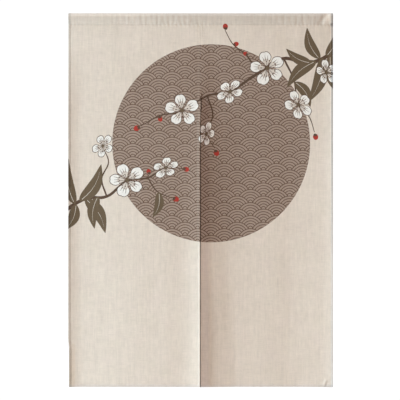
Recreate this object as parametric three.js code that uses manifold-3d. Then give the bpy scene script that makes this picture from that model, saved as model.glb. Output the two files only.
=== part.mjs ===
// A noren: a split door curtain of printed linen-look cloth, 850 mm wide and 1200 mm long, hanging empty and face on.
// Two panels are butted and sewn together along the top of the middle line and hang free below it, as a slit.
// Each panel is one cut length of cloth. Its top is turned over to the back and stitched down as a rod pocket, and its
// sides and its bottom are hemmed, so the pocket and the hems belong to the panel's own solid.
//
// Millimetres. +X is to the right as seen from the front, +Y goes away from the viewer, +Z is up.
// The origin is the middle of the top edge, where a rod would carry the curtain.

import * as THREE from 'three';
import { mergeVertices } from 'three/addons/utils/BufferGeometryUtils.js';
import Module from 'manifold-3d';

const wasm = await Module();
wasm.setup();

// Driving dimensions

const WIDTH = 850;
const LENGTH = 1200;
const CLOTH = 1.2; // thickness of one layer of cloth
const HEM_LAYER = 1.0; // what the turned-in layer of a hem adds at the back
const SIDE_HEM = 10;
const BOTTOM_HEM = 10;
const SEWN_GAP = 0.3; // between the two panels where they are sewn edge to edge
const SEWN_LENGTH = 242; // the seam in the middle, measured from the top

const POCKET_HEIGHT = 36; // from the top edge to the stitching of the rod pocket
const POCKET_TAIL = 4; // turned-over cloth below that stitching
const POCKET_FULLNESS = 11; // depth of the space in the pocket as it hangs empty
const LAYER_GAP = 0.3; // between the turned-over cloth and the sheet at the stitching
const STITCH_HEIGHT = 0.8; // the row of stitching that joins them

const SHEET_ROWS = 30; // rows of points between the bottom hem and the pocket
const POCKET_ROWS = 20; // rows of points round the pocket, up its front and down its back
const EDGE_COLUMNS = [0, 10, 10.8, 21, 32, 45, 60, 76, 96, 117, 141, 172]; // from either side of a panel

// How the cloth hangs, in millimetres. A depth below 0 comes towards the viewer.
//
// A roll bends one upright edge: depth at that edge, reach across the panel, power for how sharply it bends.
// A fold is a soft crest or trough down the panel: at is its distance from the middle line, and lean the distance
// it drifts outwards in each metre down.
// Both begin at top, measured from the top edge, and deepen over the length grows.

const ROLLS = {
  left: [
    { edge: 'inner', depth: -3.2, reach: 255, top: 232, grows: 260, power: 1.2 },
    { edge: 'inner', depth: -1.4, reach: 70, top: 236, grows: 510, power: 2 },
    { edge: 'inner', depth: -3.2, reach: 45, top: SEWN_LENGTH, grows: 90, power: 2 },
    { edge: 'inner', depth: -1.0, reach: 14, top: 250, grows: 60, power: 2 },
    { edge: 'outer', depth: -5.0, reach: 46, top: 50, grows: 300, power: 2 },
  ],
  right: [
    { edge: 'inner', depth: -8.0, reach: 190, top: 240, grows: 240, power: 2 },
    { edge: 'inner', depth: -6.4, reach: 116, top: 240, grows: 200, power: 1.05 },
    { edge: 'outer', depth: -10.0, reach: 150, top: 60, grows: 420, power: 2 },
    { edge: 'outer', depth: -2.5, reach: 34, top: 45, grows: 200, power: 2 },
  ],
};

// The left panel hangs a little forward of the right one, but the seam holds their edges together.
const SET_BACK = {
  left: [{ depth: -3.0, top: 150, grows: 260 }],
  right: [{ depth: 13.6, top: 110, grows: 300 }, { depth: 3.2, top: 640, grows: 500 }],
};
const HELD_REACH = 90; // the breadth of cloth that the seam holds
const HELD_FADES = [-8, 80]; // where it lets go, from the lower end of the seam

const FOLDS = {
  left: [
    { at: 58, reach: 34, depth: 1.2, top: 260, grows: 560, lean: 0 },
    { at: 215, reach: 84, depth: -1.2, top: 120, grows: 600, lean: 12 },
    { at: 345, reach: 55, depth: 0.8, top: 180, grows: 500, lean: 0 },
  ],
  right: [
    { at: 34, reach: 26, depth: 1.2, top: 45, grows: 110, lean: 60 },
    { at: 196, reach: 62, depth: -0.6, top: 200, grows: 560, lean: -10 },
    { at: 278, reach: 44, depth: 0.7, top: 90, grows: 520, lean: 14 },
  ],
};

const SEAM_CALM = 36; // folds fade out over this distance from the middle line
const TUCK = 3.0; // how far the right panel's free edge moves inwards, to pass behind the left one
const TUCK_TOP = 285;
const TUCK_GROWS = 60;
const PARTED = 2.2; // how far the left panel's free edge moves outwards, so that the slit lies left of the middle
const PARTED_TOP = 300;
const PARTED_GROWS = 100;
const DRAWN_IN = 2.5; // how far the left panel's outer edge is drawn in near the bottom
const DRAWN_IN_TOP = 1045;
const DRAWN_IN_GROWS = 30;
const EDGE_REACH = 60; // the breadth of cloth that moves with an edge that is moved sideways
const CORNER_CURL = -7; // the right panel's lower outer corner curls forward
const CORNER_REACH = 36;
const SWAY = 1; // the cloth hangs back this much more at the hem than at the pocket

const smooth = (from, to, value) => THREE.MathUtils.smoothstep(value, from, to);

// The way a panel's cloth runs, from the bottom edge up to the pocket, over the top edge and down behind.
// Each step of it gives the middle of the cloth as depth and height, the direction across the cloth towards its
// outside, and what is added behind: on all of the row, or on the side hems only.
function clothPath() {
  const up = new THREE.Vector2(-1, 0);
  const down = new THREE.Vector2(1, 0);
  const front = -CLOTH / 2;
  const back = CLOTH / 2 + LAYER_GAP;
  const hemTop = BOTTOM_HEM - LENGTH;
  const tailEnd = -POCKET_HEIGHT - POCKET_TAIL;

  const path = [
    { depth: front, height: -LENGTH, outside: up, behind: HEM_LAYER, behindSides: HEM_LAYER },
    { depth: front, height: hemTop - 0.5, outside: up, behind: HEM_LAYER, behindSides: HEM_LAYER },
  ];
  for (let i = 0; i <= SHEET_ROWS; i++) {
    const height = THREE.MathUtils.lerp(hemTop, tailEnd - 4, i / SHEET_ROWS);
    path.push({ depth: front, height, outside: up, behind: 0, behindSides: HEM_LAYER });
  }
  path.push({ depth: front, height: tailEnd, outside: up, behind: 0, behindSides: 0 });

  // The pocket's section is a drop, pointed at the stitching.
  const dropPoint = (turn) => new THREE.Vector2(
    THREE.MathUtils.lerp(front, back, turn / (2 * Math.PI))
      - 0.65 * POCKET_FULLNESS * Math.sin(turn) * Math.abs(Math.sin(turn / 2)),
    THREE.MathUtils.lerp(-POCKET_HEIGHT, -CLOTH / 2, (1 - Math.cos(turn)) / 2),
  );
  for (let i = 0; i <= POCKET_ROWS; i++) {
    const turn = (2 * Math.PI * i) / POCKET_ROWS;
    const point = dropPoint(turn);
    const along = dropPoint(turn + 0.01).sub(dropPoint(turn - 0.01)).normalize();
    let outside = new THREE.Vector2(-along.y, along.x);
    if (i === 0) outside = up;
    if (i === POCKET_ROWS) outside = down;
    path.push({ depth: point.x, height: point.y, outside, behind: 0, behindSides: 0 });
  }
  path.push({ depth: back, height: tailEnd, outside: down, behind: 0, behindSides: 0 });
  return path;
}

// Distances of the columns of points from a panel's left side, closer together at both sides.
function columnPlaces(width) {
  const mirrored = EDGE_COLUMNS.map((place) => width - place).reverse();
  return [...EDGE_COLUMNS, width / 2, ...mirrored];
}

// How far back the cloth lies at a place. across is the distance from the middle line, below from the top edge.
function hangDepth(side, across, width, below) {
  const down = Math.max(0, below - POCKET_HEIGHT) / (LENGTH - POCKET_HEIGHT);
  let depth = SWAY * down * down;
  for (const roll of ROLLS[side]) {
    const fromEdge = roll.edge === 'inner' ? across : width - across;
    const share = Math.max(0, 1 - fromEdge / roll.reach);
    depth += roll.depth * share ** roll.power * smooth(roll.top, roll.top + roll.grows, below);
  }
  const calm = smooth(0, SEAM_CALM, across);
  for (const fold of FOLDS[side]) {
    const off = (across - fold.at - (fold.lean * below) / 1000) / fold.reach;
    depth += calm * fold.depth * Math.exp(-off * off) * smooth(fold.top, fold.top + fold.grows, below);
  }
  const [fadeStart, fadeEnd] = HELD_FADES;
  const held = Math.max(0, 1 - across / HELD_REACH) ** 2
    * (1 - smooth(SEWN_LENGTH + fadeStart, SEWN_LENGTH + fadeEnd, below));
  for (const back of SET_BACK[side]) {
    depth += back.depth * smooth(back.top, back.top + back.grows, below) * (1 - held);
  }
  if (side === 'right') {
    const fromCorner = (width - across + LENGTH - below) / Math.SQRT2;
    depth += CORNER_CURL * Math.max(0, 1 - fromCorner / CORNER_REACH) ** 2;
  }
  return depth;
}

// How far a point moves outwards, away from the middle line.
function hangOutwards(side, across, width, below) {
  const inner = Math.max(0, 1 - across / EDGE_REACH);
  if (side === 'right') return -TUCK * inner * smooth(TUCK_TOP, TUCK_TOP + TUCK_GROWS, below);
  const outer = Math.max(0, 1 - (width - across) / EDGE_REACH);
  return PARTED * inner * smooth(PARTED_TOP, PARTED_TOP + PARTED_GROWS, below)
    - DRAWN_IN * outer * smooth(DRAWN_IN_TOP, DRAWN_IN_TOP + DRAWN_IN_GROWS, below);
}

const bareGeometry = (geometry) => {
  geometry.deleteAttribute('normal');
  geometry.deleteAttribute('uv');
  return mergeVertices(geometry, 1e-4);
};

const toSolid = (geometry) => new wasm.Manifold(new wasm.Mesh({
  numProp: 3,
  vertProperties: geometry.attributes.position.array,
  triVerts: Uint32Array.from(geometry.index.array),
}));

// One panel. A flat slab of cloth is laid along the path, hung in its folds, and stitched to itself under the pocket.
function panelGeometry(side) {
  const hand = side === 'left' ? -1 : 1;
  const width = (WIDTH - SEWN_GAP) / 2;
  const leftSide = side === 'left' ? -WIDTH / 2 : SEWN_GAP / 2;
  const path = clothPath();
  const columns = columnPlaces(width);
  const rowCount = path.length - 1;
  const columnCount = columns.length - 1;

  // The slab begins as a box with one unit to each step, so every point's column and row can be read from it.
  const slab = bareGeometry(new THREE.BoxGeometry(columnCount, rowCount, 1, columnCount, rowCount, 1));
  const points = slab.attributes.position;
  for (let i = 0; i < points.count; i++) {
    const place = columns[Math.round(points.getX(i) + columnCount / 2)];
    const step = path[Math.round(points.getY(i) + rowCount / 2)];
    const across = side === 'left' ? width - place : place;
    const isHem = place < SIDE_HEM + 0.1 || width - place < SIDE_HEM + 0.1;
    const added = isHem ? step.behindSides : step.behind;
    const offset = points.getZ(i) > 0 ? CLOTH / 2 : -CLOTH / 2 - added;
    const depth = step.depth + step.outside.x * offset;
    const height = step.height + step.outside.y * offset;
    points.setXYZ(
      i,
      leftSide + place + hand * hangOutwards(side, across, width, -height),
      depth + hangDepth(side, across, width, -height),
      height,
    );
  }

  const row = new THREE.BoxGeometry(width - 1, CLOTH + LAYER_GAP - 0.2, STITCH_HEIGHT);
  row.translate(leftSide + width / 2, LAYER_GAP / 2, -POCKET_HEIGHT - POCKET_TAIL / 3);
  const mesh = toSolid(slab).add(toSolid(bareGeometry(row))).getMesh();

  const geometry = new THREE.BufferGeometry();
  geometry.setAttribute('position', new THREE.BufferAttribute(mesh.vertProperties, 3));
  geometry.setIndex(new THREE.BufferAttribute(mesh.triVerts, 1));
  geometry.computeVertexNormals();
  return geometry;
}

// The printed cloth: a pale linen ground, seen from a step away.
const clothMaterial = () => new THREE.MeshStandardMaterial({ color: 0xd9cfc2, roughness: 0.92, metalness: 0 });

function panel(side) {
  const mesh = new THREE.Mesh(panelGeometry(side), clothMaterial());
  mesh.name = `panel_${side}`;
  return mesh;
}

const noren = new THREE.Group();
noren.add(panel('left'), panel('right'));

export default noren;
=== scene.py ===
"""A noren of printed linen-look cloth, hanging flat and empty from its rod pocket, in a plain pale studio."""

import math
import random

import bpy
from mathutils import Matrix, Vector, noise
from mathutils.geometry import delaunay_2d_cdt


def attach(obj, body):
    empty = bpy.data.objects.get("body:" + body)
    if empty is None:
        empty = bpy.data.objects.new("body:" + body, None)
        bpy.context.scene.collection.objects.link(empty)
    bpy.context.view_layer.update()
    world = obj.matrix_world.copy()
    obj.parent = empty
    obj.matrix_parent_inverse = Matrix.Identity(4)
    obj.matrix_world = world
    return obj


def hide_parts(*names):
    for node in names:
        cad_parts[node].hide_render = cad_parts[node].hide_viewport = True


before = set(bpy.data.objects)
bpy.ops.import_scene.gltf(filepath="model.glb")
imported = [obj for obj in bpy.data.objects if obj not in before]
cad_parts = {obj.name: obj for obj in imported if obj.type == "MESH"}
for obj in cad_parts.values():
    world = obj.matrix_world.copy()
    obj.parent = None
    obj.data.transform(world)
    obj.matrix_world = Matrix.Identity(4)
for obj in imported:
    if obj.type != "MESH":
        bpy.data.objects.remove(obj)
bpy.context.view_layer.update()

# Sizes of the cloth, in millimetres
MM = 0.001  # one of them in the scene's metres
WIDTH = 850.0
LENGTH = 1200.0
CLOTH = 1.1  # thickness of one layer
HEM = 10.0  # breadth of the hems
HEM_LAYER = 1.0  # what the turned-in layer of a hem adds behind
HEM_EASE = 0.9  # how far that layer takes to thin out
HEM_STITCH = 8.5  # from an edge to the stitching of its hem
HEM_FADES = (14, 7)  # where the side hems flatten below the rod pocket
EDGE_ROUND = 1.0  # radius of the rounded edges
SEWN_LENGTH = 242.0  # the seam in the middle, from the top edge
SEAM_STITCH = 4.5  # from the middle line to the stitching of the seam
HALF_SEAM = 0.02  # from the middle line to either panel
PANEL = WIDTH / 2 - HALF_SEAM
LEFT_SIDE = {"left": -WIDTH / 2, "right": HALF_SEAM}

POCKET_HEIGHT = 36.0
POCKET_TAIL = 4.0  # turned-over cloth below the pocket's stitching
POCKET_FULLNESS = 11.0
POCKET_CREST = -0.6  # height of the cloth's middle at the top edge
POCKET_STEPS = 80
FRONT_LAYER = -0.6  # depth of the cloth's middle, in front and where it is turned over
BACK_LAYER = 0.9
SHEET = LENGTH - POCKET_HEIGHT
POCKET_STITCH = SHEET - 1.3

# How the cloth hangs, in millimetres. A depth below 0 comes towards the viewer.
# Rolls and folds begin at top, measured from the top edge, and deepen over the length grows.
#
# A roll bends one upright edge of a panel, and power says how sharply:
# (edge, depth, reach, top, grows, power)
ROLLS = {
    "left": [
        ("inner", -3.2, 255, 232, 260, 1.2),
        ("inner", -1.4, 70, 236, 510, 2),
        ("inner", -3.2, 45, 242, 90, 2),
        ("inner", -1.0, 14, 250, 60, 2),
        ("outer", -5.0, 46, 50, 300, 2),
    ],
    "right": [
        ("inner", -8.0, 190, 240, 240, 2),
        ("inner", -6.4, 116, 240, 200, 1.05),
        ("outer", -10.0, 150, 60, 420, 2),
        ("outer", -2.5, 34, 45, 200, 2),
    ],
}
# A fold runs down a panel at a distance from the middle line: (at, reach, depth, top, grows, lean)
FOLDS = {
    "left": [
        (58, 34, 1.2, 260, 560, 0),
        (215, 84, -1.2, 120, 600, 12),
        (345, 55, 0.8, 180, 500, 0),
    ],
    "right": [
        (34, 26, 1.2, 45, 110, 60),
        (196, 62, -0.6, 200, 560, -10),
        (278, 44, 0.7, 90, 520, 14),
    ],
}
# A crease is a small dent from one place to another: (across, below, across, below, depth, half width)
CREASES = {
    "left": [
        (418, 1058, 404, 1064, 1.2, 5),
        (120, 1120, 150, 1106, -0.4, 16),
    ],
    "right": [
        (0, 973, 126, 978, 0.7, 5),
        (232, 978, 284, 976, 0.4, 5),
        (30, 988, 96, 990, -0.4, 8),
        (270, 74, 288, 84, 0.9, 22),
        (285, 560, 287, 830, 0.2, 5),
        (288, 850, 286, 1160, 0.16, 5),
        (404, 1179, 398, 1191, -1.2, 4.5),
        (405, 6, 384, 29, 2.2, 7),
        (408, 33, 418, 38, 0.7, 4),
    ],
}
CREASE_END = 3  # past this many half widths from its line, a crease is nothing
# The left panel hangs a little forward of the right one: (depth, top, grows)
SET_BACK = {
    "left": [(-3.0, 150, 260)],
    "right": [(13.6, 110, 300), (3.2, 640, 500)],
}
HELD_REACH = 90  # the breadth of cloth that the seam still holds together
HELD_FADES = (-8, 80)  # where it lets go, from the lower end of the seam
# Faint waves lie all over the cloth below the pocket: (depth, breadth, length, seed)
WAVES = [(0.4, 95, 150, 3.1), (0.1, 30, 38, 7.7)]
WAVES_GROW = (40, 130)

SEAM_CALM = 36  # folds fade out over this distance from the middle line
SWAY = 1.0  # the cloth hangs back this much more at the hem than at the pocket
LOWER = {"left": 0.0, "right": 1.5}  # how much lower the bottom edge hangs
CORNER_CURL = 3  # how far the right panel's lower outer corner comes forward
CORNER_REACH = 36
EDGE_REACH = 60  # the breadth of cloth that moves with an edge that is moved sideways
TUCK = 3.0  # how far the right panel's free edge moves inwards, behind the left one
TUCK_GROWS = (285, 345)
PARTED = 2.2  # how far the left panel's free edge moves outwards
PARTED_GROWS = (300, 400)
DRAWN_IN = 2.5  # how far the left panel's outer edge is drawn in near the bottom
DRAWN_IN_GROWS = (1045, 1075)

# How stitching draws the cloth up, in millimetres
STITCH_PUCKER = 0.42
STITCH_PUCKER_PITCH = 12.5
STITCH_PUCKER_BELOW = 6  # reach of the puckers from the pocket's stitching
STITCH_PUCKER_ABOVE = 9
POCKET_RIPPLES = [(0.28, 19, 1.1), (0.18, 9.5, 3.7)]  # (depth, pitch, seed)
POCKET_RIPPLES_BEGIN = 5  # how far above the stitching they are full
POCKET_RIPPLES_FADE = (24, 38)  # where they end, from the foot of the pocket
HEM_PUCKER = 0.2
HEM_PUCKER_REACH = 5
SIDE_PUCKER_PITCH = 17
FOOT_PUCKER_PITCH = 15
GROOVE = 0.3  # how deep the stitches sink into the cloth
GROOVE_HALF = 0.8
ROW_GAP = 3  # a row of stitching ends this far from the row that crosses it


def smooth(start, end, value):
    """0 before start, 1 after end, and an easy slope between."""
    share = min(1.0, max(0.0, (value - start) / (end - start)))
    return share * share * (3 - 2 * share)


def pocket_way():
    """The middle of the cloth round the rod pocket, each step as (length so far, depth, height, outward)."""

    # The section is a drop, pointed at the stitching, and 0.65 brings its breadth to the fullness.
    def drop(turn):
        bulge = 0.65 * POCKET_FULLNESS * math.sin(turn) * abs(math.sin(turn / 2))
        depth = FRONT_LAYER + (BACK_LAYER - FRONT_LAYER) * turn / (2 * math.pi) - bulge
        height = -POCKET_HEIGHT + (POCKET_HEIGHT + POCKET_CREST) * (1 - math.cos(turn)) / 2
        return Vector((depth, height))

    way = []
    length = 0.0
    for step in range(POCKET_STEPS + 1):
        turn = 2 * math.pi * step / POCKET_STEPS
        point = drop(turn)
        if step:
            length += (point - drop(2 * math.pi * (step - 1) / POCKET_STEPS)).length
        ahead = drop(turn + 0.01) - drop(turn - 0.01)
        outward = Vector((-ahead.y, ahead.x)).normalized()
        if step == 0:
            outward = Vector((-1, 0))
        if step == POCKET_STEPS:
            outward = Vector((1, 0))
        way.append((length, point.x, point.y, outward))
    return way


POCKET = pocket_way()
CLOTH_LENGTH = SHEET + POCKET[-1][0] + POCKET_TAIL


def along_cloth(v):
    """Depth, height and outward direction of the cloth's middle, v up the cloth from the bottom edge."""
    if v <= SHEET:
        return FRONT_LAYER, v - LENGTH, Vector((-1, 0))
    past = v - SHEET
    if past >= POCKET[-1][0]:
        return BACK_LAYER, -POCKET_HEIGHT - past + POCKET[-1][0], Vector((1, 0))
    index = 1
    while POCKET[index][0] < past:
        index += 1
    low, high = POCKET[index - 1], POCKET[index]
    share = (past - low[0]) / (high[0] - low[0])
    depth = low[1] + (high[1] - low[1]) * share
    height = low[2] + (high[2] - low[2]) * share
    return depth, height, low[3].lerp(high[3], share).normalized()


def near_line(point, start, end):
    """Distance from a point to a stretch of line."""
    along = end - start
    share = min(1.0, max(0.0, (point - start).dot(along) / along.length_squared))
    return (point - start - along * share).length


def hang_depth(side, across, below):
    """How far back the cloth hangs at a distance across from the middle line and below the top edge."""
    down = max(0.0, below - POCKET_HEIGHT) / (LENGTH - POCKET_HEIGHT)
    depth = SWAY * down * down
    for edge, roll, reach, top, grows, power in ROLLS[side]:
        from_edge = across if edge == "inner" else PANEL - across
        share = max(0.0, 1 - from_edge / reach)
        depth += roll * share ** power * smooth(top, top + grows, below)
    calm = smooth(0, SEAM_CALM, across)
    for at, reach, fold, top, grows, lean in FOLDS[side]:
        off = (across - at - lean * below / 1000) / reach
        depth += calm * fold * math.exp(-off * off) * smooth(top, top + grows, below)
    let_go = smooth(SEWN_LENGTH + HELD_FADES[0], SEWN_LENGTH + HELD_FADES[1], below)
    held = max(0.0, 1 - across / HELD_REACH) ** 2 * (1 - let_go)
    for back, top, grows in SET_BACK[side]:
        depth += back * smooth(top, top + grows, below) * (1 - held)
    if side == "right":
        from_corner = (PANEL - across + LENGTH - below) / math.sqrt(2)
        depth -= CORNER_CURL * max(0.0, 1 - from_corner / CORNER_REACH) ** 2
    here = Vector((across, below))
    for x1, y1, x2, y2, dent, half in CREASES[side]:
        off = near_line(here, Vector((x1, y1)), Vector((x2, y2))) / half
        if off < CREASE_END:
            depth += dent * math.exp(-off * off)
    x = across if side == "right" else -across
    wave = 0.0
    for rise, breadth, length, seed in WAVES:
        wave += rise * noise.noise(Vector((x / breadth, below / length, seed)))
    return depth + wave * smooth(*WAVES_GROW, below)


def hang_outwards(side, across, below):
    """How far the cloth is moved away from the middle line."""
    inner = max(0.0, 1 - across / EDGE_REACH)
    if side == "right":
        return -TUCK * inner * smooth(*TUCK_GROWS, below)
    outer = max(0.0, 1 - (PANEL - across) / EDGE_REACH)
    drawn_in = DRAWN_IN * outer * smooth(*DRAWN_IN_GROWS, below)
    return PARTED * inner * smooth(*PARTED_GROWS, below) - drawn_in


def uneven(place, pitch, seed):
    """A ripple between -1 and 1, as stitching draws up a hem. Its pitch sways and its height swells."""
    sway = 2.2 * math.sin(place / (pitch * 3.7) + seed)
    swell = 0.6 + 0.4 * math.sin(place / (pitch * 5.3) + 2 * seed)
    return swell * math.sin(2 * math.pi * place / pitch + sway)


def pucker(side, u, v):
    """How far the stitching draws the cloth in and out, u from the panel's left side and v up the cloth."""
    seed = 1.3 if side == "left" else 4.1
    off = (v - POCKET_STITCH) / (STITCH_PUCKER_ABOVE if v > POCKET_STITCH else STITCH_PUCKER_BELOW)
    depth = STITCH_PUCKER * uneven(u, STITCH_PUCKER_PITCH, seed) * math.exp(-off * off)
    fade_start, fade_end = POCKET_RIPPLES_FADE
    in_pocket = smooth(POCKET_STITCH, POCKET_STITCH + POCKET_RIPPLES_BEGIN, v)
    in_pocket *= 1 - smooth(SHEET + fade_start, SHEET + fade_end, v)
    depth += sum(rise * uneven(u, pitch, seed + shift) for rise, pitch, shift in POCKET_RIPPLES) * in_pocket
    if v < SHEET:
        for from_side, shift in ((u, 0.4), (PANEL - u, 2.9)):
            off = (from_side - HEM_STITCH) / HEM_PUCKER_REACH
            depth += HEM_PUCKER * uneven(v, SIDE_PUCKER_PITCH, seed + shift) * math.exp(-off * off)
        off = (v - HEM_STITCH) / HEM_PUCKER_REACH
        depth += HEM_PUCKER * uneven(u, FOOT_PUCKER_PITCH, seed + 5) * math.exp(-off * off)
    return depth


def groove(side, u, v):
    """How deep the stitches sink into the cloth's face."""
    off_rows = [v - POCKET_STITCH]
    if v < SHEET - ROW_GAP:
        off_rows += [u - HEM_STITCH, PANEL - u - HEM_STITCH, v - HEM_STITCH]
        if side == "left" and v > LENGTH - SEWN_LENGTH:
            off_rows.append(PANEL - u - SEAM_STITCH)
    return GROOVE * max(math.exp(-((off / GROOVE_HALF) ** 2)) for off in off_rows)


def cloth_point(side, u, v, face):
    """A point of the hung cloth, in metres. face is 1 on the printed face and -1 behind."""
    across = PANEL - u if side == "left" else u
    depth, height, outward = along_cloth(v)
    hem = 1 - smooth(HEM, HEM + HEM_EASE, min(u, PANEL - u))
    hem *= 1 - smooth(SHEET - HEM_FADES[0], SHEET - HEM_FADES[1], v)
    hem = max(hem, 1 - smooth(HEM, HEM + HEM_EASE, v))
    from_edge = min(u, PANEL - u, v, CLOTH_LENGTH - v)
    full = math.sqrt(max(0.0, 1 - (1 - min(1.0, from_edge / EDGE_ROUND)) ** 2))
    sunk = groove(side, u, v)
    if face > 0:
        lift = (CLOTH / 2 - sunk) * full
    else:
        lift = -(CLOTH / 2 + HEM_LAYER * hem - sunk) * full
    hand = -1 if side == "left" else 1
    x = LEFT_SIDE[side] + u + hand * hang_outwards(side, across, -height)
    y = depth + hang_depth(side, across, -height) + pucker(side, u, v) + outward.x * lift
    z = height + outward.y * lift - LOWER[side] * smooth(LENGTH / 2, LENGTH, -height)
    return Vector((x, y, z)) * MM


# The print: a full moon filled with waves, plum branches in blossom, and long leaves
#
# Places are x to the right of the middle line and h up from the bottom edge, in millimetres.

MOON = (34, 782, 318)  # x, h and radius
WAVE_RADIUS = 42.0  # of one scale of the wave pattern
WAVE_RINGS = 5.0
WAVE_LINE = 0.3  # a drawn ring's share of the space between two rings

# The inks by number, and each as it looks on a screen
BARE, BRANCH, LEAF, PALE, PETAL, PETAL_SHADE, PETAL_LINE, BERRY = range(8)
INK_COLOURS = {
    BRANCH: (92, 72, 58),
    LEAF: (107, 91, 71),
    PALE: (222, 213, 200),
    PETAL: (240, 237, 231),
    PETAL_SHADE: (216, 206, 195),
    PETAL_LINE: (96, 76, 62),
    BERRY: (176, 60, 50),
}
INKS = len(INK_COLOURS) + 1  # with bare cloth

# Each branch is a run of (x, h, thickness)
BRANCHES = [
    [(445, 1082, 13), (352, 1040, 11), (262, 1054, 10), (176, 1002, 8.5), (96, 950, 7), (20, 934, 6),
     (-62, 884, 5), (-128, 872, 4), (-192, 838, 2.4)],
    [(182, 1004, 5), (150, 1062, 4.4), (104, 1100, 3.4), (78, 1146, 2)],
    [(268, 1052, 6), (300, 985, 5), (312, 915, 4), (350, 866, 3.2), (366, 818, 2)],
    [(22, 932, 4.6), (40, 872, 4), (20, 815, 3.2), (46, 766, 2)],
    [(-445, 560, 12), (-372, 604, 10), (-300, 612, 8.6), (-236, 662, 7), (-168, 672, 5.4), (-110, 706, 4),
     (-58, 700, 2.4)],
    [(-302, 612, 5.4), (-318, 668, 4.6), (-296, 722, 3.8), (-318, 776, 2.4)],
    [(-170, 672, 4), (-140, 628, 3.4), (-92, 606, 2)],
]
CURVE_STEPS = 7  # between two places of a branch
# Each leaf is (x, h, direction in degrees, length, breadth, bend)
LEAVES = [
    (392, 1057, 252, 150, 44, 14),
    (370, 1046, 222, 124, 40, -12),
    (416, 1067, 286, 142, 42, -14),
    (382, 1053, 112, 108, 36, 12),
    (404, 1062, 68, 92, 34, -10),
    (354, 1040, 150, 92, 32, 10),
    (302, 980, 302, 96, 34, 12),
    (-388, 596, 60, 138, 42, -16),
    (-404, 586, 98, 150, 40, 14),
    (-370, 604, 300, 128, 42, 14),
    (-330, 611, 264, 104, 36, -12),
    (-400, 586, 246, 92, 36, 10),
    (-134, 625, 256, 84, 30, 10),
]
LEAF_STEPS = 22
RIB_PLACES = (0.06, 0.2, 0.36, 0.52, 0.68, 0.84)  # along a leaf, as shares of its length
RIB_HALF = 0.9
# Each blossom is (x, h, radius, turn in degrees, how far it is tilted, direction of the tilt)
BLOSSOMS = [
    (214, 1024, 60, 12, 0.94, 0),
    (94, 948, 50, 40, 0.74, 30),
    (-60, 888, 57, 5, 0.97, 0),
    (314, 906, 52, 24, 0.82, -50),
    (20, 812, 42, 50, 0.66, 80),
    (-236, 664, 60, 18, 0.93, 0),
    (-112, 704, 46, 2, 0.72, 20),
    (-314, 774, 40, 30, 0.84, 60),
    (404, 1010, 44, 9, 0.8, 110),
]
PETALS = 5
PETAL_STEPS = 26
STAMENS = 15
VEINS = (-13, 0, 12)  # how far each vein of a petal leans, in degrees
# A petal's sizes, as shares of the blossom's radius
PETAL_MIDDLE = 0.6
PETAL_HALF_LENGTH = 0.4
PETAL_HALF_BREADTH = 0.345
PETAL_FOOT = 0.42  # its breadth at the foot, as a share of the full breadth
PETAL_WIDENS = (0.12, 0.62)  # from the foot to the full breadth
PETAL_HEART = 0.58  # size of its shaded heart
NOTCH = 0.055
NOTCH_HALF = 0.09
VEIN_START = 0.44
# Breadths of the drawn lines, in millimetres, and of a stroke at its start and its end
PETAL_RIM = 2.1
HEART_RIM = 1.2
VEIN_STROKE = (2.1, 0.7)
STAMEN_STROKE = (1.7, 1.2)
ANTHER = 2.2
# Each bud is (x, h, radius, direction it opens to)
BUDS = [
    (-196, 834, 9.5, 200),
    (-132, 868, 8, 285),
    (80, 1148, 9, 95),
    (106, 1098, 8, 20),
    (368, 812, 9, 280),
    (48, 760, 9, 290),
    (-54, 700, 8.5, 350),
    (-88, 606, 9, 340),
    (-166, 684, 7.5, 100),
    (150, 1066, 7, 150),
]
BUD_STEPS = 16
BUD_HALF_BREADTH = 0.92  # as a share of its radius
BUD_HALF_LENGTH = 1.12
SEPAL = [(0, -0.3), (0.5, 0.3), (0, 1.15), (-0.4, 0.3)]  # its corners, as shares of the bud's radius
SEPAL_TURNS = (-32, 28)


def turned(points, at, degrees):
    """Points turned about the origin and moved to a place."""
    turn = Matrix.Rotation(math.radians(degrees), 2)
    return [turn @ point + Vector(at) for point in points]


def tilted(points, at, share, degrees):
    """Points drawn in across one direction, as a flower looks when it faces aside."""
    back = Matrix.Rotation(math.radians(-degrees), 2)
    forth = Matrix.Rotation(math.radians(degrees), 2)
    narrowed = []
    for point in points:
        flat = back @ (point - Vector(at))
        narrowed.append(forth @ Vector((flat.x, flat.y * share)) + Vector(at))
    return narrowed


def petal_shape(radius, inset):
    """A round petal that points up from the origin, notched a little at its tip."""
    outline = []
    for step in range(PETAL_STEPS):
        turn = 2 * math.pi * step / PETAL_STEPS
        x = (PETAL_HALF_BREADTH * radius - inset) * math.sin(turn)
        y = PETAL_MIDDLE * radius - (PETAL_HALF_LENGTH * radius - inset) * math.cos(turn)
        x *= PETAL_FOOT + (1 - PETAL_FOOT) * smooth(*PETAL_WIDENS, y / radius)
        if y > PETAL_MIDDLE * radius:
            y -= NOTCH * radius * math.exp(-((x / (NOTCH_HALF * radius)) ** 2))
        outline.append(Vector((x, y)))
    return outline


def thin_line(start, end, broad, fine):
    """A drawn stroke that narrows from start to end."""
    along = (end - start).normalized()
    side = Vector((-along.y, along.x))
    return [start + side * broad / 2, start - side * broad / 2, end - side * fine / 2, end + side * fine / 2]


def disc_shape(at, radius, steps):
    """A round outline."""
    turns = [2 * math.pi * k / steps for k in range(steps)]
    return [Vector(at) + radius * Vector((math.cos(turn), math.sin(turn))) for turn in turns]


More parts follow.
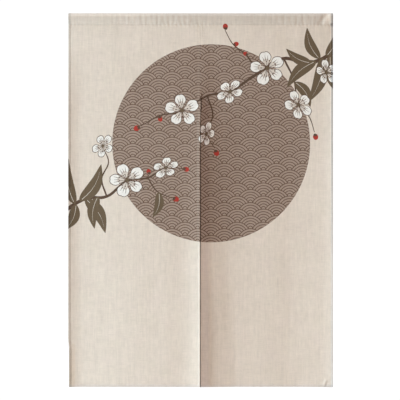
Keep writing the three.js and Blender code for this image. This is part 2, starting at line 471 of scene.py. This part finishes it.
def blossom(x, h, radius, turn, share, lean):
    """The areas of ink of one plum blossom, lowest first. Its place seeds its unevenness."""
    rng = random.Random(int(x * 7 + h))
    at = (x, h)
    areas = []
    for k in range(PETALS):
        angle = turn + 360 / PETALS * k + rng.uniform(-4, 4)
        size = radius * rng.uniform(0.94, 1.05)
        areas.append((PETAL_LINE, turned(petal_shape(size, 0), at, angle)))
        areas.append((PETAL, turned(petal_shape(size, PETAL_RIM), at, angle)))
        areas.append((PETAL_SHADE, turned(petal_shape(size * PETAL_HEART, HEART_RIM), at, angle)))
        for vein in VEINS:
            start = Vector((0, VEIN_START * size))
            end = Vector((0, size * rng.uniform(0.66, 0.78)))
            areas.append((PETAL_LINE, turned(thin_line(start, end, *VEIN_STROKE), at, angle + vein)))
    for k in range(STAMENS):
        angle = turn + 360 / STAMENS * k + rng.uniform(-6, 6)
        reach = radius * rng.uniform(0.3, 0.46)
        stroke = thin_line(Vector((0, 0.06 * radius)), Vector((0, reach)), *STAMEN_STROKE)
        areas.append((PETAL_LINE, turned(stroke, at, angle)))
        areas.append((PETAL_LINE, turned(disc_shape((0, reach + 1), ANTHER, 8), at, angle)))
    areas.append((LEAF, disc_shape(at, 0.1 * radius, 12)))
    return [(ink, tilted(outline, at, share, lean)) for ink, outline in areas]


def bud(x, h, radius, direction):
    """A closed bud with two small sepals at its foot."""
    half_breadth = radius * BUD_HALF_BREADTH
    round_part = []
    for k in range(BUD_STEPS):
        turn = 2 * math.pi * k / BUD_STEPS
        up = radius * (1.0 - BUD_HALF_LENGTH * math.cos(turn))
        round_part.append(Vector((half_breadth * math.sin(turn), up)))
    areas = [(BERRY, round_part)]
    for aside in SEPAL_TURNS:
        sepal = [Vector((radius * across, radius * up)) for across, up in SEPAL]
        areas.append((BRANCH, turned(sepal, (0, 0), aside)))
    return [(ink, turned(outline, (x, h), direction - 90)) for ink, outline in areas]


def leaf(x, h, direction, length, breadth, bend):
    """A long pointed leaf with a pale rib."""

    def place(t, across):
        middle = Vector((t * length, bend * math.sin(math.pi * t)))
        return middle + Vector((0, across))

    # 0.72 puts the broadest place nearer the foot, and 0.85 makes the leaf a little fuller.
    def half(t):
        return breadth / 2 * math.sin(math.pi * t ** 0.72) ** 0.85 if 0 < t < 1 else 0

    upper = [place(k / LEAF_STEPS, half(k / LEAF_STEPS)) for k in range(LEAF_STEPS + 1)]
    lower = [place(k / LEAF_STEPS, -half(k / LEAF_STEPS)) for k in range(LEAF_STEPS - 1, 0, -1)]
    rib = [place(t, RIB_HALF * (1 - t)) for t in RIB_PLACES]
    rib += [place(t, -RIB_HALF * (1 - t)) for t in reversed(RIB_PLACES)]
    areas = [(LEAF, upper + lower), (PALE, rib)]
    return [(ink, turned(outline, (x, h), direction)) for ink, outline in areas]


def on_curve(a, b, c, d, t):
    """A point of the smooth curve through a, b, c and d, a share t of the way from b to c."""
    return 0.5 * ((2 * b) + (c - a) * t + (2 * a - 5 * b + 4 * c - d) * t * t
                  + (3 * b - a - 3 * c + d) * t ** 3)


def branch(run):
    """A branch drawn through its places, a little knotty."""
    places = [Vector(step) for step in run]
    ends = [places[0] * 2 - places[1]] + places + [places[-1] * 2 - places[-2]]
    line = []
    for i in range(1, len(ends) - 2):
        line += [on_curve(*ends[i - 1:i + 3], k / CURVE_STEPS) for k in range(CURVE_STEPS)]
    line.append(places[-1])
    upper = []
    lower = []
    # One side swells by noise and the other in a slow wave, so that the thickness is never even.
    for i, point in enumerate(line):
        ahead = line[min(i + 1, len(line) - 1)] - line[max(i - 1, 0)]
        side = Vector((-ahead.y, ahead.x)).normalized()
        knot = 1 + 0.16 * noise.noise(Vector((point.x / 17, point.y / 17, 1.5)))
        upper.append(point.xy + side * point.z * knot / 2)
        lower.append(point.xy - side * point.z * (1.06 - 0.1 * math.sin(i * 1.9)) / 2)
    return [(BRANCH, upper + lower[::-1])]


def print_areas():
    """Every area of ink of the print, lowest first, each as (ink, outline)."""
    areas = []
    for run in BRANCHES:
        areas += branch(run)
    for one in LEAVES:
        areas += leaf(*one)
    for one in BUDS:
        areas += bud(*one)
    for one in BLOSSOMS:
        areas += blossom(*one)
    return areas


# Cutting and hanging the cloth

# Rows of points across a hem
EDGE_PLACES = [0, 0.3, 1.0, 2.6, 4.0, 5.2, 6.6, 7.7, 8.5, 9.3, 10.0, 10.9, 13.0]
POCKET_BAND = SHEET - 26  # from here up, the points lie close together
HEM_END = 16  # from an edge to the even rows beyond a hem
# How far apart the rows of points lie
POCKET_PITCH = 3
HEM_PITCH = 4
CORNER_PITCH = 2
SHEET_PITCH = 7
WELD = 0.02  # points this near each other are one
ON_EDGE = 0.01  # points this near the cut edge lie on it


def spread(start, end, pitch):
    """Evenly spaced places from start to end."""
    count = max(1, round((end - start) / pitch))
    return [start + (end - start) * k / count for k in range(count + 1)]


def panel_places():
    """Where the points of a panel lie, as (u, v): close together at its hems, pocket and lower corner."""
    sides = EDGE_PLACES + [PANEL - place for place in EDGE_PLACES]
    pocket = spread(POCKET_BAND, POCKET_STITCH - 3, 2.9)
    pocket += [POCKET_STITCH + off for off in (-1.5, -0.7, 0, 0.7)]
    pocket += [SHEET, SHEET + 1]
    pocket += spread(SHEET + 2.6, CLOTH_LENGTH - 4.2, 2.5)
    pocket += [CLOTH_LENGTH - off for off in (3, 1.7, 1, 0.3, 0)]
    # Each grid is (places across, places up)
    grids = {
        "pocket": (sides + spread(HEM_END, PANEL - HEM_END, POCKET_PITCH), pocket),
        "bottom hem": (sides + spread(HEM_END, PANEL - HEM_END, HEM_PITCH), EDGE_PLACES),
        "side hems": (sides, spread(HEM_END, POCKET_BAND - 3, HEM_PITCH)),
        "lower corner": (spread(PANEL - 36, PANEL - 12, CORNER_PITCH), spread(4, 34, CORNER_PITCH)),
        "sheet": (spread(19, PANEL - 19, SHEET_PITCH), spread(17, POCKET_BAND - 5, SHEET_PITCH)),
    }
    places = {(u, v) for across, up in grids.values() for u in across for v in up}
    return [Vector(place) for place in sorted(places)]


def inside(point, outline):
    """True if a point lies within an outline."""
    found = False
    before = outline[-1]
    for here in outline:
        if (here.y > point.y) != (before.y > point.y):
            if point.x < before.x + (here.x - before.x) * (point.y - before.y) / (here.y - before.y):
                found = not found
        before = here
    return found


def on_border(point):
    """True for a point of the flat cloth that lies on its cut edge."""
    return min(point.x, PANEL - point.x, point.y, CLOTH_LENGTH - point.y) <= ON_EDGE


def panel_outlines(side, areas):
    """The areas of ink that reach a panel, on its own flat cloth, each as (ink, outline, low, high)."""
    outlines = []
    for ink, outline in areas:
        local = [Vector((point.x - LEFT_SIDE[side], point.y)) for point in outline]
        low = Vector((min(point.x for point in local), min(point.y for point in local)))
        high = Vector((max(point.x for point in local), max(point.y for point in local)))
        if high.x >= 0 and low.x <= PANEL:
            outlines.append((ink, local, low, high))
    return outlines


def ink_at(point, outlines):
    """The number of the topmost ink at a point of the flat cloth."""
    found = BARE
    for ink, outline, low, high in outlines:
        if low.x <= point.x <= high.x and low.y <= point.y <= high.y and inside(point, outline):
            found = ink
    return found


def cut_cloth(outlines):
    """The flat cloth, cut along the print's outlines: its points, its triangles and their inks."""
    places = panel_places()
    edge = [Vector((0, 0)), Vector((PANEL, 0)), Vector((PANEL, CLOTH_LENGTH)), Vector((0, CLOTH_LENGTH))]
    lines = []
    for loop in [outline for _, outline, _, _ in outlines] + [edge]:
        start = len(places)
        count = len(loop)
        places += loop
        lines += [(start + k, start + (k + 1) % count) for k in range(count)]
    flat, _, triangles, _, _, _ = delaunay_2d_cdt(places, lines, [], 0, WELD, False)

    kept = []
    inks = []
    for triangle in triangles:
        a, b, c = (flat[k] for k in triangle)
        centre = (a + b + c) / 3
        if not (0 < centre.x < PANEL and 0 < centre.y < CLOTH_LENGTH):
            continue
        # Its front and its back would be the same three points.
        if on_border(a) and on_border(b) and on_border(c):
            continue
        if (b - a).cross(c - a) < 0:
            triangle = triangle[::-1]
        kept.append(triangle)
        inks.append(ink_at(centre, outlines))
    return flat, kept, inks


def new_piece(name, vertices, faces):
    """A smooth mesh as a piece of the scene."""
    mesh = bpy.data.meshes.new(name)
    mesh.from_pydata(vertices, [], faces)
    mesh.polygons.foreach_set("use_smooth", [True] * len(faces))
    mesh.update()
    piece = bpy.data.objects.new(name, mesh)
    bpy.context.scene.collection.objects.link(piece)
    return piece


def cloth_panel(side, areas):
    """One panel: its flat cloth is cut along the print's outlines, given thickness and hems, and hung."""
    flat, triangles, inks = cut_cloth(panel_outlines(side, areas))
    vertices = []
    flat_places = []
    front = {}
    behind = {}
    for k in sorted({k for triangle in triangles for k in triangle}):
        u = min(PANEL, max(0.0, flat[k].x))
        v = min(CLOTH_LENGTH, max(0.0, flat[k].y))
        front[k] = behind[k] = len(vertices)
        vertices.append(cloth_point(side, u, v, 1))
        flat_places.append(((u + LEFT_SIDE[side]) * MM, v * MM))
        if not on_border(flat[k]):
            behind[k] = len(vertices)
            vertices.append(cloth_point(side, u, v, -1))
            flat_places.append(flat_places[-1])
    faces = [tuple(front[k] for k in triangle) for triangle in triangles]
    faces += [tuple(behind[k] for k in triangle[::-1]) for triangle in triangles]

    panel = new_piece(f"cloth_{side}", vertices, faces)
    mesh = panel.data
    flat_map = mesh.uv_layers.new(name="flat_cloth")
    corners = [flat_places[loop.vertex_index] for loop in mesh.loops]
    flat_map.data.foreach_set("uv", [w for corner in corners for w in corner])
    ink_layer = mesh.attributes.new("ink", "FLOAT", "FACE")
    ink_layer.data.foreach_set("value", [float(ink) for ink in inks + inks])
    back_layer = mesh.attributes.new("behind", "FLOAT", "FACE")
    back_layer.data.foreach_set("value", [0.0] * len(triangles) + [1.0] * len(triangles))
    return panel


# Sewing, in millimetres

STITCH_PITCH = 3.3
STITCH_LENGTH = 2.5
THREAD = 0.42
THREAD_SUNK = 0.45  # how far a stitch's ends dive in, as a share of the thread
THREAD_PROUD = 0.25  # how far its middle stands out
POCKET_ROW_INSET = 2  # from the sides to the ends of the pocket's row


def stitch_runs(side):
    """The rows of stitching of a panel, each as ((u, v) start, (u, v) end)."""
    top = POCKET_STITCH - ROW_GAP
    low = HEM_STITCH + ROW_GAP
    right = PANEL - HEM_STITCH
    runs = [
        ((POCKET_ROW_INSET, POCKET_STITCH), (PANEL - POCKET_ROW_INSET, POCKET_STITCH)),
        ((HEM_STITCH, HEM_STITCH), (right, HEM_STITCH)),
        ((HEM_STITCH, low), (HEM_STITCH, top)),
        ((right, low), (right, top)),
    ]
    if side == "left":
        runs.append(((PANEL - SEAM_STITCH, LENGTH - SEWN_LENGTH), (PANEL - SEAM_STITCH, top)))
    return runs


def one_stitch():
    """A stitch, as points and faces: a short thread, thick in its middle and pointed where it dives in."""
    bpy.ops.object.select_all(action="DESELECT")
    quarter_turn = (0, math.radians(90), 0)
    bpy.ops.mesh.primitive_cylinder_add(
        vertices=4, radius=THREAD / 2, depth=STITCH_LENGTH * 0.5,
        end_fill_type="TRIFAN", rotation=quarter_turn,
    )
    stitch = bpy.context.object
    bpy.ops.object.transform_apply(location=False, rotation=True, scale=False)
    for point in stitch.data.vertices:
        if abs(point.co.y) < 0.001 and abs(point.co.z) < 0.001:
            point.co.x *= 2
            point.co.z = -THREAD * THREAD_SUNK
    points = [point.co.copy() for point in stitch.data.vertices]
    faces = [tuple(face.vertices) for face in stitch.data.polygons]
    bpy.data.objects.remove(stitch)
    return points, faces


def stitching(side, stitch):
    """The stitches of a panel, in front and behind, copied along its rows and joined as one mesh."""
    points, sides = stitch
    vertices = []
    faces = []
    for start, end in stitch_runs(side):
        start, end = Vector(start), Vector(end)
        along = (end - start).normalized()
        count = int((end - start).length / STITCH_PITCH)
        for k in range(count):
            middle = start + along * (k + 0.5) * STITCH_PITCH
            for face in (1, -1):
                out = along_cloth(middle.y)[2] * face
                out = Vector((0, out.x, out.y))
                ends = [middle + along * off * STITCH_LENGTH for off in (-0.5, 0.5)]
                run = cloth_point(side, *ends[1], face) - cloth_point(side, *ends[0], face)
                aside = out.cross(run).normalized()
                base = len(vertices)
                for point in points:
                    place = middle + along * point.x
                    foot = cloth_point(side, place.x, place.y, face)
                    vertices.append(foot + (aside * point.y + out * (point.z + THREAD * THREAD_PROUD)) * MM)
                faces += [tuple(base + corner for corner in corners) for corners in sides]
    return new_piece(f"stitching_{side}", vertices, faces)


# Colours and finishes

SHOW_THROUGH = 0.2  # how much of the print shows behind
YARN_CONTRAST = 0.24  # the range of tone from yarn to yarn
PATCH_CONTRAST = 0.17  # the range of tone of streaks and patches
WEAVE_PITCH = 0.8  # in millimetres
# Shares of the relief
WEFT_RELIEF = 1.4
WARP_RELIEF = 1.2
WEAVE_RELIEF = 0.22
WHITE = (1, 1, 1, 1)


def display(red, green, blue):
    """A colour given as it looks on a screen, 0 to 255, as the linear colour a shader takes."""
    values = []
    for part in (red, green, blue):
        part /= 255
        values.append(part / 12.92 if part <= 0.04045 else ((part + 0.055) / 1.055) ** 2.4)
    return (*values, 1.0)


def new_finish(name):
    """A material with its node tree and its shader."""
    finish = bpy.data.materials.new(name)
    finish.use_nodes = True
    tree = finish.node_tree
    tree.nodes.clear()
    shader = tree.nodes.new("ShaderNodeBsdfPrincipled")
    output = tree.nodes.new("ShaderNodeOutputMaterial")
    tree.links.new(shader.outputs[0], output.inputs[0])
    return finish, tree, shader


def feed(tree, socket, value):
    """Links a socket to another's output, or sets it to a number or colour."""
    if isinstance(value, bpy.types.NodeSocket):
        tree.links.new(value, socket)
    else:
        socket.default_value = value


def calc(tree, operation, *values):
    """The result of one step of arithmetic."""
    node = tree.nodes.new("ShaderNodeMath")
    node.operation = operation
    for socket, value in zip(node.inputs, values):
        feed(tree, socket, value)
    return node.outputs[0]


def product(tree, first, *others):
    """Several values multiplied together."""
    for other in others:
        first = calc(tree, "MULTIPLY", first, other)
    return first


def distance(tree, aside, above):
    """How far a place lies from another, from its distances aside and above."""
    aside_squared = calc(tree, "MULTIPLY", aside, aside)
    above_squared = calc(tree, "MULTIPLY", above, above)
    return calc(tree, "SQRT", calc(tree, "ADD", aside_squared, above_squared))


def choose(tree, share, first, second):
    """The first number where share is 0, the second where it is 1."""
    return calc(tree, "ADD", first, calc(tree, "MULTIPLY", share, calc(tree, "SUBTRACT", second, first)))


def blend_colours(tree, share, first, second, way="MIX"):
    """The first colour where share is 0, the second, or what way makes of both, where it is 1."""
    node = tree.nodes.new("ShaderNodeMix")
    node.data_type = "RGBA"
    node.blend_type = way
    feed(tree, node.inputs[0], share)
    feed(tree, node.inputs[6], first)
    feed(tree, node.inputs[7], second)
    return node.outputs[2]


def grey(tree, value):
    """One number as a grey colour."""
    node = tree.nodes.new("ShaderNodeCombineColor")
    for socket in node.inputs[:3]:
        feed(tree, socket, value)
    return node.outputs[0]


def attribute(tree, name):
    """A number that the mesh holds for each of its faces."""
    node = tree.nodes.new("ShaderNodeAttribute")
    node.attribute_name = name
    return node.outputs["Fac"]


def cloudy(tree, x, y, across, up, detail, seed):
    """Noise from 0 to 1 over the flat cloth, with its grain size across and up in millimetres."""
    join = tree.nodes.new("ShaderNodeCombineXYZ")
    feed(tree, join.inputs[0], calc(tree, "DIVIDE", x, across))
    feed(tree, join.inputs[1], calc(tree, "DIVIDE", y, up))
    join.inputs[2].default_value = seed
    node = tree.nodes.new("ShaderNodeTexNoise")
    node.inputs["Scale"].default_value = 1.0
    node.inputs["Detail"].default_value = detail
    node.inputs["Roughness"].default_value = 0.55
    tree.links.new(join.outputs[0], node.inputs["Vector"])
    return node.outputs[0]


def grainy(tree, scale):
    """Noise from 0 to 1 in the object's own metres."""
    place = tree.nodes.new("ShaderNodeTexCoord")
    node = tree.nodes.new("ShaderNodeTexNoise")
    node.inputs["Scale"].default_value = scale
    tree.links.new(place.outputs["Object"], node.inputs["Vector"])
    return node.outputs[0]


def slope(tree, value, start, end):
    """0 at start and 1 at end, with an easy slope between them."""
    node = tree.nodes.new("ShaderNodeMapRange")
    node.interpolation_type = "SMOOTHSTEP"
    feed(tree, node.inputs["Value"], value)
    node.inputs["From Min"].default_value = start
    node.inputs["From Max"].default_value = end
    return node.outputs["Result"]


def wave_rings(tree, x, y, radius):
    """Distance from the middle of the wave scale at a place, 0 to 1. Each row overlaps the one above it."""
    across = calc(tree, "DIVIDE", x, radius)
    up = calc(tree, "DIVIDE", y, radius)
    doubled = calc(tree, "MULTIPLY", up, 2.0)
    row = calc(tree, "FLOOR", doubled)
    rise = calc(tree, "MULTIPLY", calc(tree, "SUBTRACT", doubled, row), 0.5)
    even = calc(tree, "ABSOLUTE", calc(tree, "SUBTRACT", calc(tree, "FLOORED_MODULO", across, 2.0), 1.0))
    odd = calc(tree, "SUBTRACT", 1.0, even)
    parity = calc(tree, "FLOORED_MODULO", row, 2.0)
    mine = calc(tree, "ADD", calc(tree, "MULTIPLY", parity, even),
                calc(tree, "MULTIPLY", calc(tree, "SUBTRACT", 1.0, parity), odd))
    other = calc(tree, "SUBTRACT", 1.0, mine)
    lowest = distance(tree, other, calc(tree, "ADD", rise, 0.5))
    middle = distance(tree, mine, rise)
    upper = distance(tree, other, calc(tree, "SUBTRACT", 0.5, rise))
    topmost = choose(tree, calc(tree, "LESS_THAN", middle, 1.0), upper, middle)
    return choose(tree, calc(tree, "LESS_THAN", lowest, 1.0), topmost, lowest)


def moon_on(tree, x, y, ground):
    """The ground with the moon printed on it: a soft brown wash under rings of darker waves."""
    moon_x, moon_h, moon_radius = MOON
    off_x = calc(tree, "SUBTRACT", x, float(moon_x))
    off_y = calc(tree, "SUBTRACT", y, float(moon_h))
    in_moon = calc(tree, "LESS_THAN", distance(tree, off_x, off_y), float(moon_radius))
    inwards = calc(tree, "SUBTRACT", 1.0, wave_rings(tree, off_x, off_y, WAVE_RADIUS))
    ring = calc(tree, "FRACT", calc(tree, "MULTIPLY", inwards, WAVE_RINGS))
    line = calc(tree, "LESS_THAN", ring, WAVE_LINE)
    clouds = cloudy(tree, x, y, across=45, up=30, detail=3.0, seed=3.0)
    wash = blend_colours(tree, clouds, display(170, 151, 137), display(158, 139, 125))
    waves = blend_colours(tree, line, wash, display(104, 80, 66))
    return blend_colours(tree, in_moon, ground, waves)


def ink_on(tree, ground):
    """The ground with the inks of the print on it, each face of the mesh in the ink that it holds."""
    number = attribute(tree, "ink")
    node = tree.nodes.new("ShaderNodeValToRGB")
    node.color_ramp.interpolation = "CONSTANT"
    steps = node.color_ramp.elements
    steps.remove(steps[1])
    for ink, colour in INK_COLOURS.items():
        steps.new((ink - 0.5) / INKS).color = display(*colour)
    feed(tree, node.inputs[0], calc(tree, "DIVIDE", number, float(INKS)))
    return blend_colours(tree, calc(tree, "GREATER_THAN", number, 0.5), ground, node.outputs[0])


def below_seam(tree, y):
    """0 beside the seam of the two panels and 1 below it, where they hang apart."""
    return slope(tree, y, LENGTH - SEWN_LENGTH, LENGTH - SEWN_LENGTH - 60)


def painted_shade_and_light(tree, x, y):
    """Each place where shade or light is painted into the cloth's tone at its edges, hems, slit, pocket and
    folds, as (how much darker, its bounds); below 0 is a painted highlight.
    """

    def under(value, limit):
        return calc(tree, "LESS_THAN", value, limit)

    def over(value, limit):
        return calc(tree, "GREATER_THAN", value, limit)

    def between(value, start, end):
        return slope(tree, value, start, end)

    def off(value, middle):
        return calc(tree, "ABSOLUTE", calc(tree, "SUBTRACT", value, middle))

    from_right = calc(tree, "SUBTRACT", WIDTH / 2, x)
    left_hem = under(calc(tree, "ADD", x, WIDTH / 2), 8.3)
    above_stitch = between(y, POCKET_STITCH - 0.6, POCKET_STITCH + 0.6)
    pocket = product(tree, above_stitch, between(y, SHEET + 38, SHEET + 25))
    off_fold = off(calc(tree, "MULTIPLY_ADD", y, -0.25, x), 400.2)
    return {
        # Painted shade along the left hem and its foot, the right and bottom edges and the right hem.
        "left hem": (0.2, left_hem),
        "foot of the left hem": (0.1, left_hem, between(y, 150, 110)),
        "right and bottom edges": (0.1, under(calc(tree, "MINIMUM", from_right, y), 2.4)),
        "painted shade on the right edge": (0.285, between(y, 260, 900), under(from_right, 6.0)),
        "painted shade low on the right hem": (0.05, between(y, 330, 150), under(from_right, 10.0)),
        # Painted shade in the slit and beside it, and a painted highlight on the left panel's hem at the
        # slit.
        "shade in the slit": (0.68, over(x, 0.0), under(x, 3.8), below_seam(tree, y)),
        "beside the slit": (0.05, over(x, 3.8), between(x, 64, 36), between(y, 370, 270)),
        "painted highlight on the hem at the slit": (-0.05, under(x, 0.0), between(x, -36, -18), between(y, 260, 130)),
        # Painted shade over the rod pocket, less of it on the left and towards the right, more at its right
        # end, with a painted highlight near that end and painted shadow where its stitching gapes.
        "pocket": (0.14, pocket),
        "pocket on the left": (-0.05, pocket, between(x, -60, -240)),
        "pocket towards the right": (-0.11, pocket, between(x, 389, 397)),
        "right end of the pocket": (0.06, pocket, between(x, 416, 419)),
        "painted highlight at the end of the pocket": (
            -0.15, between(off(from_right, 17.0), 9.5, 4.0), pocket, between(y, SHEET + 6, SHEET + 15),
        ),
        "gape at the stitching": (0.36, between(off(y, POCKET_STITCH), 9.0, 1.5), under(from_right, 9.5)),
        # A painted highlight along a ridge of the right hem.
        "ridge of the right hem": (
            -0.125, under(off(from_right, 7.8), 1.8), between(y, 500, 800), between(y, SHEET, SHEET - 8),
        ),
        # Painted shade along a fold at the lower right corner and along the foot of the cloth.
        "fold of the corner": (0.17, between(off_fold, 5.0, 1.5), between(y, 23, 17)),
        "foot": (0.05, under(y, 5.5)),
        "right end of the foot": (0.08, under(y, 8.5), between(x, 380, 392)),
    }


def tinted_places(tree, x, y):
    """Each place where light falls warmer, cooler or brighter, as (red, green and blue, its bounds)."""
    from_left = calc(tree, "ADD", x, WIDTH / 2)
    from_right = calc(tree, "SUBTRACT", WIDTH / 2, x)
    top_edge = slope(tree, y, SHEET + 47, SHEET + 44)
    return {
        "top fold": ((1.05, 1.085, 1.13, 1), slope(tree, y, SHEET + 27.2, SHEET + 28.8), top_edge),
        "top fold on the left": (
            (1.09, 1.08, 1.07, 1),
            slope(tree, y, SHEET + 24, SHEET + 27), slope(tree, x, -60, -240), top_edge,
        ),
        "foot of the left hem": (
            (0.98, 0.95, 0.91, 1), slope(tree, from_left, 24, 16), slope(tree, y, 150, 110),
        ),
        "right of the slit": (
            (0.99, 1.0, 1.06, 1),
            calc(tree, "GREATER_THAN", x, 0.0), slope(tree, x, 34, 20), below_seam(tree, y),
        ),
        "right edge": ((0.94, 0.985, 1.05, 1), calc(tree, "LESS_THAN", from_right, 6.3)),
        "bottom hem": ((0.99, 1.005, 1.045, 1), calc(tree, "LESS_THAN", y, 8.5)),
    }


def printed_linen():
    """The printed cloth: pale slubby linen with the print in its face, a faint show-through behind, and
    painted shade and light in its colour.
    """
    finish, tree, shader = new_finish("printed linen")
    flat = tree.nodes.new("ShaderNodeUVMap")
    flat.uv_map = "flat_cloth"
    split = tree.nodes.new("ShaderNodeSeparateXYZ")
    tree.links.new(flat.outputs[0], split.inputs[0])
    x = calc(tree, "MULTIPLY", split.outputs[0], 1 / MM)
    y = calc(tree, "MULTIPLY", split.outputs[1], 1 / MM)

    mottle = cloudy(tree, x, y, across=60, up=70, detail=4.0, seed=1.0)
    tint = cloudy(tree, x, y, across=52, up=60, detail=3.0, seed=2.0)
    weft = cloudy(tree, x, y, across=34, up=1.5, detail=2.0, seed=5.0)
    warp = cloudy(tree, x, y, across=1.5, up=40, detail=2.0, seed=9.0)
    streaks = cloudy(tree, x, y, across=7, up=150, detail=2.0, seed=12.0)
    patches = cloudy(tree, x, y, across=15, up=20, detail=2.0, seed=15.0)
    rosy = blend_colours(tree, mottle, display(232, 218, 207), display(221, 207, 195))
    straw = blend_colours(tree, mottle, display(229, 219, 204), display(219, 209, 192))
    ground = blend_colours(tree, tint, rosy, straw)

    printed = ink_on(tree, moon_on(tree, x, y, ground))
    faded = blend_colours(tree, SHOW_THROUGH, ground, printed)
    face = blend_colours(tree, attribute(tree, "behind"), printed, faded)

    tone = 1.0
    for yarn in (weft, warp):
        tone = calc(tree, "ADD", tone, product(tree, calc(tree, "SUBTRACT", yarn, 0.5), YARN_CONTRAST))
    for patch in (streaks, patches):
        tone = calc(tree, "ADD", tone, product(tree, calc(tree, "SUBTRACT", patch, 0.5), PATCH_CONTRAST))
    # The painted shade and highlights are taken off the yarn tone here.
    for place, (darker, *bounds) in painted_shade_and_light(tree, x, y).items():
        share = product(tree, *bounds, darker)
        share.node.label = place
        tone = calc(tree, "SUBTRACT", tone, share)
    face = blend_colours(tree, 1.0, face, grey(tree, tone), "MULTIPLY")
    for place, (colour, *bounds) in tinted_places(tree, x, y).items():
        shade = blend_colours(tree, product(tree, *bounds), WHITE, colour)
        shade.node.label = place
        face = blend_colours(tree, 1.0, face, shade, "MULTIPLY")
    feed(tree, shader.inputs["Base Color"], face)

    over = calc(tree, "SINE", calc(tree, "MULTIPLY", x, math.pi / WEAVE_PITCH))
    under = calc(tree, "SINE", calc(tree, "MULTIPLY", y, math.pi / WEAVE_PITCH))
    weave = product(tree, over, under, WEAVE_RELIEF)
    slubs = calc(tree, "ADD", product(tree, weft, WEFT_RELIEF), product(tree, warp, WARP_RELIEF))
    bump = tree.nodes.new("ShaderNodeBump")
    bump.inputs["Strength"].default_value = 0.22
    bump.inputs["Distance"].default_value = 0.00035
    feed(tree, bump.inputs["Height"], calc(tree, "ADD", weave, slubs))
    tree.links.new(bump.outputs[0], shader.inputs["Normal"])
    shader.inputs["Roughness"].default_value = 0.92
    shader.inputs["Specular IOR Level"].default_value = 0.2
    shader.inputs["Sheen Weight"].default_value = 0.12
    shader.inputs["Sheen Roughness"].default_value = 0.55
    return finish


def sewing_thread():
    """Matt spun thread in the colour of the cloth."""
    finish, tree, shader = new_finish("sewing thread")
    colour = blend_colours(tree, grainy(tree, 900.0), display(214, 204, 190), display(188, 176, 160))
    feed(tree, shader.inputs["Base Color"], colour)
    shader.inputs["Roughness"].default_value = 0.75
    return finish


def studio_floor():
    """A plain pale floor, a little clouded."""
    finish, tree, shader = new_finish("pale floor")
    colour = blend_colours(tree, grainy(tree, 6.0), (0.82, 0.815, 0.81, 1), (0.79, 0.785, 0.78, 1))
    feed(tree, shader.inputs["Base Color"], colour)
    shader.inputs["Roughness"].default_value = 0.8
    return finish


# Making the pieces

linen = printed_linen()
thread = sewing_thread()
print_layout = print_areas()
stitch = one_stitch()
for side in ("left", "right"):
    panel = cloth_panel(side, print_layout)
    panel.data.materials.append(linen)
    sewing = stitching(side, stitch)
    sewing.data.materials.append(thread)
    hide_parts(f"panel_{side}")
    for piece in (panel, sewing):
        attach(piece, "root")


# Studio, in metres

FLOOR = -1.75
FLOOR_SIZE = 4.4
MIDDLE = (0, 0, -0.6)
# Each light is (name, place, what it aims at, size, power, colour)
LIGHTS = [
    ("key", (-3.9, -1.25, -0.74), MIDDLE, 1.7, 234, (0.65, 0.842, 0.955)),
    ("top", (-0.3, -0.3, 1.9), (0, 0, -0.1), 0.9, 19, (0.9, 0.97, 1.0)),
    ("front", (0.9, -5.4, -0.2), MIDDLE, 2.4, 104, (1.0, 0.79, 0.65)),
    ("back", (1.9, 3.6, 0.6), MIDDLE, 2.6, 165, (0.97, 0.98, 1.0)),
]
# What the camera sees behind the cloth, and what lights it from all round: (colour, strength)
BACKDROP = ((1.0, 1.0, 1.0, 1.0), 1.05)
FILL = ((1.0, 0.88, 0.83, 1.0), 0.17)

DISTANCE = 7.0
FRAME_WIDTH = 1.285  # of what the camera sees at the cloth
SENSOR = 36
AIM_X = -0.0022  # the camera's place across and its height
AIM_HEIGHT = -0.6


def area_light(name, place, aim, size, power, colour):
    """A square soft light that faces a place."""
    light = bpy.data.lights.new(name, "AREA")
    light.shape = "SQUARE"
    light.size = size
    light.energy = power
    light.color = colour
    lamp = bpy.data.objects.new(name, light)
    lamp.location = place
    lamp.rotation_euler = (Vector(aim) - Vector(place)).to_track_quat("-Z", "Y").to_euler()
    bpy.context.scene.collection.objects.link(lamp)


def studio_world():
    """White behind the cloth, and a dim warm light from all round."""
    world = bpy.data.worlds.new("studio")
    world.use_nodes = True
    tree = world.node_tree
    tree.nodes.clear()
    ray = tree.nodes.new("ShaderNodeLightPath")
    either = tree.nodes.new("ShaderNodeMixShader")
    output = tree.nodes.new("ShaderNodeOutputWorld")
    tree.links.new(ray.outputs["Is Camera Ray"], either.inputs[0])
    for socket, (colour, strength) in zip(either.inputs[1:], (FILL, BACKDROP)):
        node = tree.nodes.new("ShaderNodeBackground")
        node.inputs["Color"].default_value = colour
        node.inputs["Strength"].default_value = strength
        tree.links.new(node.outputs[0], socket)
    tree.links.new(either.outputs[0], output.inputs[0])
    return world


bpy.ops.object.select_all(action="DESELECT")
bpy.ops.mesh.primitive_plane_add(size=FLOOR_SIZE, location=(0, 0, FLOOR))
floor = bpy.context.object
floor.name = "floor"
floor.data.materials.append(studio_floor())

for one in LIGHTS:
    area_light(*one)
bpy.context.scene.world = studio_world()

view = bpy.data.cameras.new("view")
view.sensor_width = SENSOR
view.lens = SENSOR * DISTANCE / FRAME_WIDTH
camera = bpy.data.objects.new("camera", view)
camera.location = (AIM_X, -DISTANCE, AIM_HEIGHT)
camera.rotation_euler = (math.radians(90), 0, 0)
bpy.context.scene.collection.objects.link(camera)
bpy.context.scene.camera = camera
bpy.context.scene.view_settings.view_transform = "Standard"
